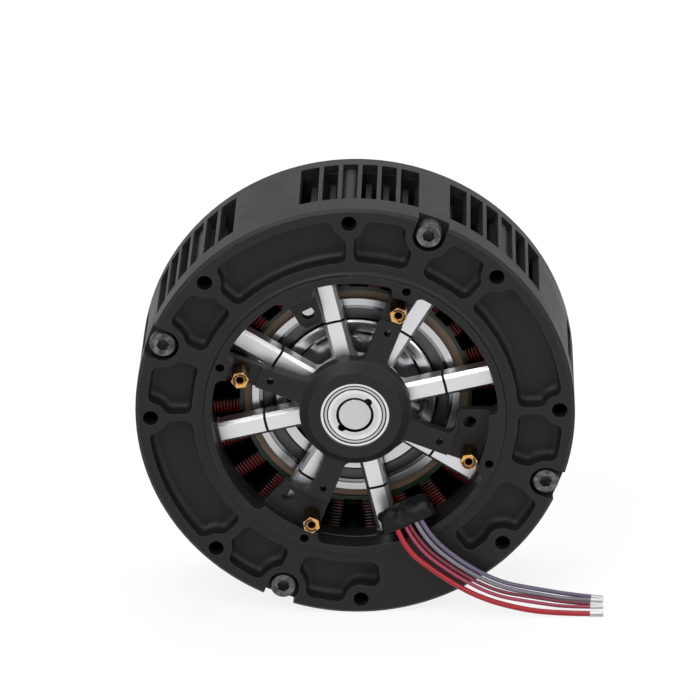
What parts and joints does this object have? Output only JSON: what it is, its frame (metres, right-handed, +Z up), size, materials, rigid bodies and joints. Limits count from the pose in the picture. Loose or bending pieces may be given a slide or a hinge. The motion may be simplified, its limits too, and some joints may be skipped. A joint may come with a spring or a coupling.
{
  "type": "robot joint actuator",
  "caption": "Drum-shaped robot joint actuator: outer-rotor motor around a planetary gear stage, output flange in front, open rear side with spokes, stator windings and connection leads.",
  "frame": {"origin": "centre of the output mounting face, on the output axis", "axes": "+Y is the output axis, pointing out of the output face; +Z up, with the drum on its curved side; -Y is the open rear side with the spokes and the leads"},
  "size_m": [0.1217, 0.0467, 0.115],
  "materials": {
    "housing_black": "matte black hard-anodised, fine blasted grain",
    "bright_aluminium": "machined bright",
    "bearing_steel": "ground and polished",
    "gear_steel": "cut and ground",
    "black_steel": "black oxide screw steel",
    "brass": "turned brass",
    "bronze": "sintered bronze",
    "core_steel": "varnished laminations",
    "insulator_green": "moulded green insulator",
    "enamelled_wire": "red enamelled copper wire",
    "magnet": "nickel-plated",
    "iron_dark": "phosphated iron",
    "boot_black": "shrunk black sleeve",
    "lead_red": "red silicone insulation",
    "lead_pink": "pink insulation, half gloss",
    "lead_crimson": "dark red insulation, half gloss",
    "lead_grey": "grey insulation, half gloss",
    "lead_violet": "violet-grey insulation, half gloss"
  },
  "bodies": {
    "housing": {"rear_housing": "housing_black", "base_housing": "housing_black", "housing_screws": "black_steel", "driver_standoffs": "brass", "rear_bearing_outer": "bearing_steel", "rear_bearing_shields": "gear_steel", "output_bearing_outer": "bearing_steel", "bearing_cover": "housing_black", "cover_screws": "black_steel", "ring_gear": "gear_steel", "stator_core": "core_steel", "stator_insulator": "insulator_green", "stator_coils": "enamelled_wire", "lead_boot": "boot_black", "lead_harness": "boot_black", "lead_red": "lead_red", "lead_pink": "lead_pink", "lead_crimson": "lead_crimson", "lead_grey": "lead_grey", "lead_violet": "lead_violet"},
    "output": {"output_flange": "bright_aluminium", "carrier_front_plate": "gear_steel", "carrier_rear_plate": "gear_steel", "planet_pins": "bearing_steel", "output_screws": "black_steel", "output_bearing_inner": "bearing_steel", "output_bearing_rollers": "bearing_steel", "front_bearing_outer": "bearing_steel", "front_bearing_shields": "gear_steel"},
    "rotor": {"rotor_bell": "bright_aluminium", "rotor_back_iron": "iron_dark", "rotor_magnets": "magnet", "sun_shaft": "gear_steel", "encoder_magnet": "magnet", "rear_bearing_inner": "bearing_steel", "front_bearing_inner": "bearing_steel"},
    "planet_1": {"planet_gear_1": "gear_steel", "planet_bush_1": "bronze"},
    "planet_2": {"planet_gear_2": "gear_steel", "planet_bush_2": "bronze"},
    "planet_3": {"planet_gear_3": "gear_steel", "planet_bush_3": "bronze"}
  },
  "joints": [
    {"name": "output_spin", "type": "hinge", "parent": "housing", "child": "output", "pos_m": [0, 0, 0], "axis": [0, 1, 0], "continuous": true},
    {"name": "rotor_spin", "type": "hinge", "parent": "housing", "child": "rotor", "pos_m": [0, 0, 0], "axis": [0, 1, 0], "continuous": true},
    {"name": "planet_1_spin", "type": "hinge", "parent": "output", "child": "planet_1", "pos_m": [0, 0, 0.0135], "axis": [0, 1, 0], "continuous": true},
    {"name": "planet_2_spin", "type": "hinge", "parent": "output", "child": "planet_2", "pos_m": [-0.01169, 0, -0.00675], "axis": [0, 1, 0], "continuous": true},
    {"name": "planet_3_spin", "type": "hinge", "parent": "output", "child": "planet_3", "pos_m": [0.01169, 0, -0.00675], "axis": [0, 1, 0], "continuous": true}
  ],
  "couplings": [
    {"joint": "rotor_spin", "follows": "output_spin", "ratio": 6},
    {"joint": "planet_1_spin", "follows": "output_spin", "ratio": -2.5},
    {"joint": "planet_2_spin", "follows": "output_spin", "ratio": -2.5},
    {"joint": "planet_3_spin", "follows": "output_spin", "ratio": -2.5}
  ]
}
